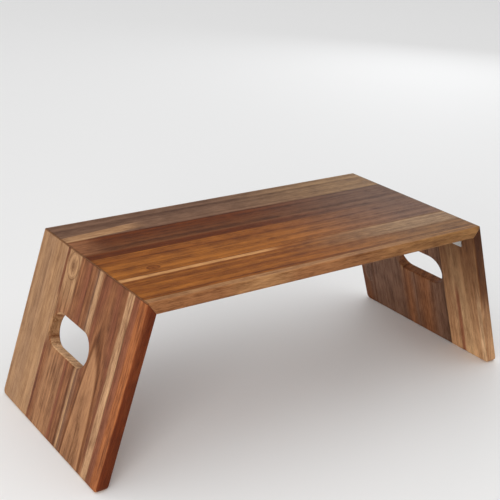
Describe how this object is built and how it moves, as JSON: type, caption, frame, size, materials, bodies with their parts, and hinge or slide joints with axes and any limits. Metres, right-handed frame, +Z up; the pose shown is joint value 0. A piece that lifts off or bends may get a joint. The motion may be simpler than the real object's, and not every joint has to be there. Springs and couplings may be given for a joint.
{
  "type": "laptop stand",
  "caption": "Folding hardwood laptop stand: a mitred stave tabletop on splayed side legs with handle openings, which hinge flat underneath.",
  "frame": {"origin": "on the floor, midway between the feet, middle of the depth", "axes": "+X along the tabletop to the right, +Y from front to back, +Z up"},
  "size_m": [0.6408, 0.272, 0.22],
  "materials": {
    "tabletop_wood": "oiled acacia staves with mixed heartwood and sapwood, satin",
    "leg_wood": "oiled acacia staves with mixed heartwood and sapwood, satin",
    "hinge_leaves": "bright zinc-plated sheet",
    "hinge_pins": "bright steel wire",
    "screws": "zinc-plated"
  },
  "bodies": {
    "tabletop": {"top_front_lipping": "tabletop_wood", "top_stave_1": "tabletop_wood", "top_stave_2": "tabletop_wood", "top_stave_3": "tabletop_wood", "top_stave_4": "tabletop_wood", "top_hinge_screws": "screws", "left_front_hinge_top_leaf": "hinge_leaves", "left_front_hinge_pin": "hinge_pins", "left_back_hinge_top_leaf": "hinge_leaves", "left_back_hinge_pin": "hinge_pins", "right_front_hinge_top_leaf": "hinge_leaves", "right_front_hinge_pin": "hinge_pins", "right_back_hinge_top_leaf": "hinge_leaves", "right_back_hinge_pin": "hinge_pins"},
    "left_leg": {"left_leg_stave_1": "leg_wood", "left_leg_stave_2": "leg_wood", "left_leg_stave_3_upper": "leg_wood", "left_leg_stave_3_lower": "leg_wood", "left_leg_stave_4": "leg_wood", "left_leg_stave_5": "leg_wood", "left_leg_hinge_screws": "screws", "left_front_hinge_leg_leaf": "hinge_leaves", "left_back_hinge_leg_leaf": "hinge_leaves"},
    "right_leg": {"right_leg_stave_1": "leg_wood", "right_leg_stave_2": "leg_wood", "right_leg_stave_3_upper": "leg_wood", "right_leg_stave_3_lower": "leg_wood", "right_leg_stave_4": "leg_wood", "right_leg_stave_5": "leg_wood", "right_leg_hinge_screws": "screws", "right_front_hinge_leg_leaf": "hinge_leaves", "right_back_hinge_leg_leaf": "hinge_leaves"}
  },
  "joints": [
    {"name": "left_leg_fold", "type": "hinge", "parent": "tabletop", "child": "left_leg", "pos_m": [-0.24038, 0, 0.2016], "axis": [0, -1, 0], "range_deg": [0, 107]},
    {"name": "right_leg_fold", "type": "hinge", "parent": "tabletop", "child": "right_leg", "pos_m": [0.24038, 0, 0.2016], "axis": [0, 1, 0], "range_deg": [0, 107]}
  ]
}
